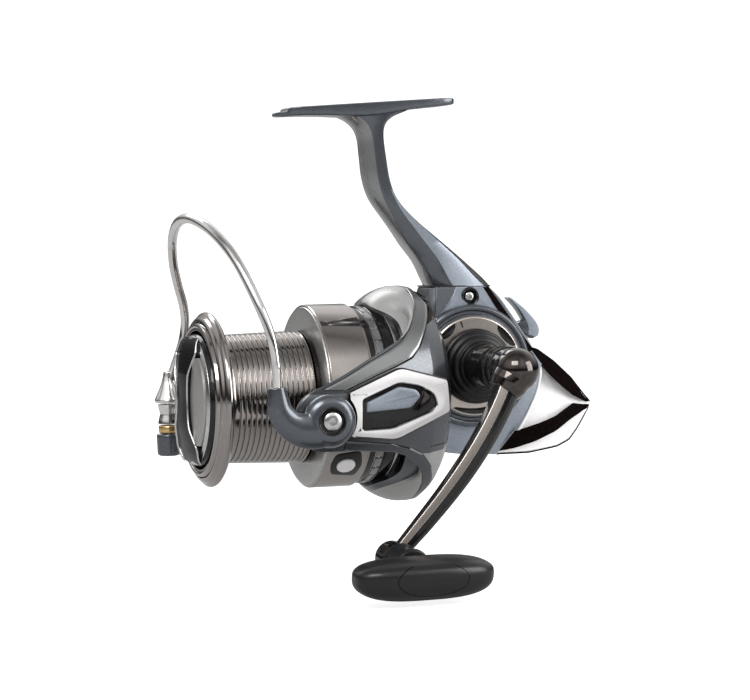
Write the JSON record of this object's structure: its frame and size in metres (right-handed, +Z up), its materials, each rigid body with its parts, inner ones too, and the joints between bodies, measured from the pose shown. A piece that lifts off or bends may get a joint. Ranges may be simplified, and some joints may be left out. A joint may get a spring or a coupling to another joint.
{
  "type": "spinning reel",
  "caption": "Long-cast front-drag spinning reel with folding crank, T-shaped knob, rotor with full bail and wide polished spool.",
  "frame": {"origin": "middle of the seat face on top of the foot, where the reel meets the rod", "axes": "+X forward along the spool axis towards the drag knob, +Z up towards the rod, +Y towards the crank handle's side"},
  "size_m": [0.1706, 0.1541, 0.1869],
  "materials": {
    "body_paint": "fine metallic satin",
    "cover_paint": "fine metallic satin",
    "rotor_paint": "satin",
    "spool_metal": "turned and polished",
    "chrome": "mirror polished",
    "dark_chrome": "mirror polished",
    "steel": "machined",
    "brass": "machined",
    "bronze": "polished with engraved marks",
    "black_plastic": "satin",
    "gloss_black": "gloss",
    "rubber": "matt",
    "felt": "pressed felt"
  },
  "bodies": {
    "body": {"body_frame": "body_paint", "side_cover": "cover_paint", "cover_screw_top": "steel", "cover_screw_front": "steel", "cover_screw_rear": "steel", "side_ring": "bronze", "rear_cover": "chrome", "drive_bearing_near": "steel", "drive_bearing_far": "steel", "shaft_cap": "dark_chrome", "pinion_bearing": "steel", "one_way_clutch": "steel", "slider_rod": "steel"},
    "crank": {"drive_gear": "brass", "drive_shaft": "steel", "handle_collar": "rubber", "handle_barrel": "dark_chrome", "fold_pin": "steel"},
    "arm": {"handle_arm": "dark_chrome", "knob_stem": "steel"},
    "knob": {"handle_knob": "black_plastic", "knob_neck": "rubber", "knob_cap": "black_plastic"},
    "rotor": {"rotor": "rotor_paint", "rotor_nut": "steel", "pinion_gear": "brass", "arm_trim_near": "chrome", "arm_trim_far": "chrome", "arm_plate_near": "rotor_paint", "arm_plate_far": "rotor_paint", "bail_spring": "steel"},
    "bail": {"bail_holder_near": "rotor_paint", "bail_arm_far": "rotor_paint", "pivot_screw_near": "steel", "pivot_screw_far": "steel", "bail_wire": "chrome", "roller_collar": "brass"},
    "roller": {"line_roller": "chrome"},
    "shaft": {"main_shaft": "steel", "oscillation_slider": "steel", "drag_plate_rear": "steel", "drag_plate_front": "steel", "spool_washer": "steel"},
    "spool": {"spool": "spool_metal", "spool_lip": "spool_metal", "line_clip_plate": "gloss_black", "line_clip": "chrome", "drag_felt_rear": "felt", "drag_felt_front": "felt", "drag_clip": "steel"},
    "drag_knob": {"drag_knob": "black_plastic", "knob_lens_near": "chrome", "knob_lens_far": "chrome"},
    "worm": {"worm_shaft": "steel", "worm_gear": "brass"},
    "lever": {"anti_reverse_lever": "body_paint"}
  },
  "joints": [
    {"name": "crank_spin", "type": "hinge", "parent": "body", "child": "crank", "pos_m": [-0.0402, 0, -0.104], "axis": [0, 1, 0], "continuous": true},
    {"name": "handle_fold", "type": "hinge", "parent": "crank", "child": "arm", "pos_m": [-0.0402, 0.0625, -0.104], "axis": [0.8031, 0, 0.5959], "range_deg": [0, 90]},
    {"name": "knob_spin", "type": "hinge", "parent": "arm", "child": "knob", "pos_m": [0.0107, 0.064, -0.1726], "axis": [-0.0792, 0.9903, -0.1139], "continuous": true},
    {"name": "rotor_spin", "type": "hinge", "parent": "body", "child": "rotor", "pos_m": [0, 0, -0.1146], "axis": [1, 0, 0], "continuous": true},
    {"name": "bail_flip", "type": "hinge", "parent": "rotor", "child": "bail", "pos_m": [0.0292, 0, -0.1216], "axis": [0, 1, 0], "range_deg": [0, 110]},
    {"name": "line_roller_spin", "type": "hinge", "parent": "bail", "child": "roller", "pos_m": [0.0685, -0.045, -0.1224], "axis": [0, 0, 1], "continuous": true},
    {"name": "spool_oscillation", "type": "slide", "parent": "body", "child": "shaft", "axis": [1, 0, 0], "range_m": [0, 0.022]},
    {"name": "spool_drag_spin", "type": "hinge", "parent": "shaft", "child": "spool", "pos_m": [0, 0, -0.1146], "axis": [1, 0, 0], "continuous": true},
    {"name": "drag_knob_turn", "type": "hinge", "parent": "shaft", "child": "drag_knob", "pos_m": [0, 0, -0.1146], "axis": [1, 0, 0], "range_deg": [-360, 360]},
    {"name": "worm_spin", "type": "hinge", "parent": "body", "child": "worm", "pos_m": [0, -0.001, -0.1268], "axis": [1, 0, 0], "continuous": true},
    {"name": "anti_reverse_turn", "type": "hinge", "parent": "body", "child": "lever", "pos_m": [-0.073, 0, -0.0926], "axis": [1, 0, 0], "range_deg": [0, 28]}
  ],
  "couplings": [
    {"joint": "rotor_spin", "follows": "crank_spin", "ratio": -4.5556},
    {"joint": "worm_spin", "follows": "crank_spin", "ratio": 3.1538}
  ]
}
